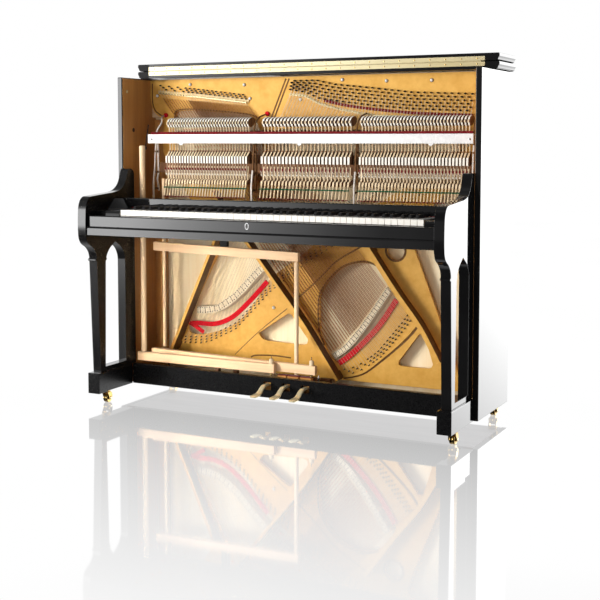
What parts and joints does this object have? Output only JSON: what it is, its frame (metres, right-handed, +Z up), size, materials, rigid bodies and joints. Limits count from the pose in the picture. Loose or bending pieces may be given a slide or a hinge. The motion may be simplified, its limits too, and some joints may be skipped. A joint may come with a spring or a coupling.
{
  "type": "upright piano",
  "caption": "Upright piano with folded-back lid and front panels off, showing the gold plate, strings, action, keyboard, trapwork, three pedals and brass casters.",
  "frame": {"origin": "middle of the floor plan, on the floor under the casters", "axes": "+X towards the treble end, +Y towards the back, +Z up"},
  "size_m": [1.5434, 0.6717, 1.3465],
  "materials": {
    "black_polyester": "high gloss",
    "beech": "satin",
    "spruce": "satin",
    "brass": "polished",
    "gold_iron": "satin gold lacquer",
    "steel": "bright",
    "silver_rail": "satin",
    "copper": "copper wound",
    "key_white": "white acrylic faced, gloss",
    "key_black": "satin black",
    "hammer_felt": "wood with white felt heads",
    "damper_felt": "wood with grey felt"
  },
  "bodies": {
    "case": {"case_side_left": "black_polyester", "case_side_right": "black_polyester", "arm_left": "black_polyester", "arm_right": "black_polyester", "foot_left": "black_polyester", "foot_right": "black_polyester", "bottom_rail": "black_polyester", "lid_rear": "black_polyester", "key_bed": "black_polyester", "key_slip": "black_polyester", "key_block_left": "black_polyester", "key_block_right": "black_polyester", "nameboard": "black_polyester", "bottom_board": "beech", "pin_block": "beech", "bridge_treble": "beech", "bridge_bass": "beech", "action_rail": "beech", "back_frame": "spruce", "soundboard": "spruce", "lid_hinge": "brass", "plate": "gold_iron", "strings_plain": "steel", "strings_bass": "copper", "action_bracket_1": "silver_rail", "action_bracket_2": "silver_rail", "action_bracket_3": "silver_rail", "action_bracket_4": "silver_rail"},
    "lid_front_board": {"lid_front": "black_polyester"},
    "keys_bass": {"naturals_bass": "key_white", "sharps_bass": "key_black"},
    "whippen_set_bass": {"whippens_bass": "beech"},
    "hammer_set_bass": {"hammers_bass": "hammer_felt"},
    "keys_tenor": {"naturals_tenor": "key_white", "sharps_tenor": "key_black"},
    "whippen_set_tenor": {"whippens_tenor": "beech"},
    "hammer_set_tenor": {"hammers_tenor": "hammer_felt"},
    "keys_treble": {"naturals_treble": "key_white", "sharps_treble": "key_black"},
    "whippen_set_treble": {"whippens_treble": "beech"},
    "hammer_set_treble": {"hammers_treble": "hammer_felt"},
    "pedal_left_lever": {"pedal_left": "brass"},
    "pedal_middle_lever": {"pedal_middle": "brass"},
    "pedal_right_lever": {"pedal_right": "brass"},
    "trap_lever_soft": {"lever_soft": "beech"},
    "trap_dowel_soft": {"dowel_soft": "beech"},
    "rest_rail": {"hammer_rail": "silver_rail"},
    "trap_lever_sustain": {"lever_sustain": "beech"},
    "trap_dowel_sustain": {"dowel_sustain": "beech"},
    "damper_set": {"dampers": "damper_felt"},
    "trap_dowel_mute": {"dowel_mute": "beech"},
    "trap_lever_mute": {"lever_mute": "beech"},
    "caster_front_left_swivel": {"caster_fork_front_left": "brass"},
    "caster_front_left_roller": {"caster_wheel_front_left": "brass"},
    "caster_front_right_swivel": {"caster_fork_front_right": "brass"},
    "caster_front_right_roller": {"caster_wheel_front_right": "brass"},
    "caster_rear_left_swivel": {"caster_fork_rear_left": "brass"},
    "caster_rear_left_roller": {"caster_wheel_rear_left": "brass"},
    "caster_rear_right_swivel": {"caster_fork_rear_right": "brass"},
    "caster_rear_right_roller": {"caster_wheel_rear_right": "brass"}
  },
  "joints": [
    {"name": "lid_fold", "type": "hinge", "parent": "case", "child": "lid_front_board", "pos_m": [0, 0.124, 1.31775], "axis": [1, 0, 0], "range_deg": [0, 180]},
    {"name": "keys_bass_press", "type": "hinge", "parent": "case", "child": "keys_bass", "pos_m": [0, -0.017, 0.749], "axis": [1, 0, 0], "range_deg": [0, 2.3], "stiffness_Nm_per_rad": 20, "springref_deg": -14.32},
    {"name": "whippens_bass_lift", "type": "hinge", "parent": "case", "child": "whippen_set_bass", "pos_m": [0, 0.08, 0.9], "axis": [-1, 0, 0], "range_deg": [0, 3.6]},
    {"name": "hammers_bass_strike", "type": "hinge", "parent": "case", "child": "hammer_set_bass", "pos_m": [0, 0.069, 0.956], "axis": [-1, 0, 0], "range_deg": [0, 13.5]},
    {"name": "keys_tenor_press", "type": "hinge", "parent": "case", "child": "keys_tenor", "pos_m": [0, -0.017, 0.749], "axis": [1, 0, 0], "range_deg": [0, 2.3], "stiffness_Nm_per_rad": 20, "springref_deg": -14.32},
    {"name": "whippens_tenor_lift", "type": "hinge", "parent": "case", "child": "whippen_set_tenor", "pos_m": [0, 0.08, 0.9], "axis": [-1, 0, 0], "range_deg": [0, 3.6]},
    {"name": "hammers_tenor_strike", "type": "hinge", "parent": "case", "child": "hammer_set_tenor", "pos_m": [0, 0.069, 0.956], "axis": [-1, 0, 0], "range_deg": [0, 13.5]},
    {"name": "keys_treble_press", "type": "hinge", "parent": "case", "child": "keys_treble", "pos_m": [0, -0.017, 0.749], "axis": [1, 0, 0], "range_deg": [0, 2.3], "stiffness_Nm_per_rad": 20, "springref_deg": -14.32},
    {"name": "whippens_treble_lift", "type": "hinge", "parent": "case", "child": "whippen_set_treble", "pos_m": [0, 0.08, 0.9], "axis": [-1, 0, 0], "range_deg": [0, 3.6]},
    {"name": "hammers_treble_strike", "type": "hinge", "parent": "case", "child": "hammer_set_treble", "pos_m": [0, 0.069, 0.956], "axis": [-1, 0, 0], "range_deg": [0, 13.5]},
    {"name": "pedal_left_press", "type": "hinge", "parent": "case", "child": "pedal_left_lever", "pos_m": [-0.0815, 0.124, 0.094], "axis": [1, 0, 0], "range_deg": [0, 3.75], "stiffness_Nm_per_rad": 30, "springref_deg": -11.46},
    {"name": "pedal_middle_press", "type": "hinge", "parent": "case", "child": "pedal_middle_lever", "pos_m": [0, 0.124, 0.094], "axis": [1, 0, 0], "range_deg": [0, 3.75], "stiffness_Nm_per_rad": 30, "springref_deg": -11.46},
    {"name": "pedal_right_press", "type": "hinge", "parent": "case", "child": "pedal_right_lever", "pos_m": [0.0815, 0.124, 0.094], "axis": [1, 0, 0], "range_deg": [0, 3.75], "stiffness_Nm_per_rad": 30, "springref_deg": -11.46},
    {"name": "lever_soft_rock", "type": "hinge", "parent": "case", "child": "trap_lever_soft", "pos_m": [-0.32, 0, 0.159], "axis": [0, 1, 0], "range_deg": [0, 2]},
    {"name": "dowel_soft_lift", "type": "slide", "parent": "case", "child": "trap_dowel_soft", "axis": [0, 0, 1], "range_m": [0, 0.012]},
    {"name": "hammer_rail_shift", "type": "slide", "parent": "case", "child": "rest_rail", "axis": [0, 1, 0], "range_m": [0, 0.0062]},
    {"name": "lever_sustain_rock", "type": "hinge", "parent": "case", "child": "trap_lever_sustain", "pos_m": [-0.25, 0.024, 0.166], "axis": [0, 1, 0], "range_deg": [0, 1.2]},
    {"name": "dowel_sustain_lift", "type": "slide", "parent": "case", "child": "trap_dowel_sustain", "axis": [0, 0, 1], "range_m": [0, 0.0075]},
    {"name": "dampers_release", "type": "hinge", "parent": "case", "child": "damper_set", "pos_m": [0, 0.119, 0.968], "axis": [1, 0, 0], "range_deg": [0, 4.6]},
    {"name": "dowel_mute_pull", "type": "slide", "parent": "case", "child": "trap_dowel_mute", "axis": [0, 0, -1], "range_m": [0, 0.0055]},
    {"name": "lever_mute_rock", "type": "hinge", "parent": "case", "child": "trap_lever_mute", "pos_m": [-0.315, 0.047, 0.598], "axis": [0, 1, 0], "range_deg": [0, 1]},
    {"name": "caster_front_left_turn", "type": "hinge", "parent": "case", "child": "caster_front_left_swivel", "pos_m": [-0.72, -0.191, 0.04], "axis": [0, 0, 1], "continuous": true},
    {"name": "caster_front_left_roll", "type": "hinge", "parent": "caster_front_left_swivel", "child": "caster_front_left_roller", "pos_m": [-0.72, -0.182, 0.0178], "axis": [1, 0, 0], "continuous": true},
    {"name": "caster_front_right_turn", "type": "hinge", "parent": "case", "child": "caster_front_right_swivel", "pos_m": [0.72, -0.191, 0.04], "axis": [0, 0, 1], "continuous": true},
    {"name": "caster_front_right_roll", "type": "hinge", "parent": "caster_front_right_swivel", "child": "caster_front_right_roller", "pos_m": [0.72, -0.182, 0.0178], "axis": [1, 0, 0], "continuous": true},
    {"name": "caster_rear_left_turn", "type": "hinge", "parent": "case", "child": "caster_rear_left_swivel", "pos_m": [-0.715, 0.282, 0.04], "axis": [0, 0, 1], "continuous": true},
    {"name": "caster_rear_left_roll", "type": "hinge", "parent": "caster_rear_left_swivel", "child": "caster_rear_left_roller", "pos_m": [-0.715, 0.291, 0.0178], "axis": [1, 0, 0], "continuous": true},
    {"name": "caster_rear_right_turn", "type": "hinge", "parent": "case", "child": "caster_rear_right_swivel", "pos_m": [0.715, 0.282, 0.04], "axis": [0, 0, 1], "continuous": true},
    {"name": "caster_rear_right_roll", "type": "hinge", "parent": "caster_rear_right_swivel", "child": "caster_rear_right_roller", "pos_m": [0.715, 0.291, 0.0178], "axis": [1, 0, 0], "continuous": true}
  ],
  "couplings": [
    {"joint": "whippens_bass_lift", "follows": "keys_bass_press", "ratio": 1.5},
    {"joint": "hammers_bass_strike", "follows": "keys_bass_press", "ratio": 5.85},
    {"joint": "whippens_tenor_lift", "follows": "keys_tenor_press", "ratio": 1.5},
    {"joint": "hammers_tenor_strike", "follows": "keys_tenor_press", "ratio": 5.85},
    {"joint": "whippens_treble_lift", "follows": "keys_treble_press", "ratio": 1.5},
    {"joint": "hammers_treble_strike", "follows": "keys_treble_press", "ratio": 5.85},
    {"joint": "lever_soft_rock", "follows": "pedal_left_press", "ratio": 0.5167},
    {"joint": "dowel_soft_lift", "follows": "pedal_left_press", "m_per_rad": 0.1798},
    {"joint": "hammer_rail_shift", "follows": "pedal_left_press", "m_per_rad": 0.0915},
    {"joint": "lever_sustain_rock", "follows": "pedal_right_press", "ratio": 0.3026},
    {"joint": "dowel_sustain_lift", "follows": "pedal_right_press", "m_per_rad": 0.1095},
    {"joint": "dampers_release", "follows": "pedal_right_press", "ratio": 1.2},
    {"joint": "dowel_mute_pull", "follows": "pedal_middle_press", "m_per_rad": 0.077},
    {"joint": "lever_mute_rock", "follows": "pedal_middle_press", "ratio": 0.2414}
  ]
}
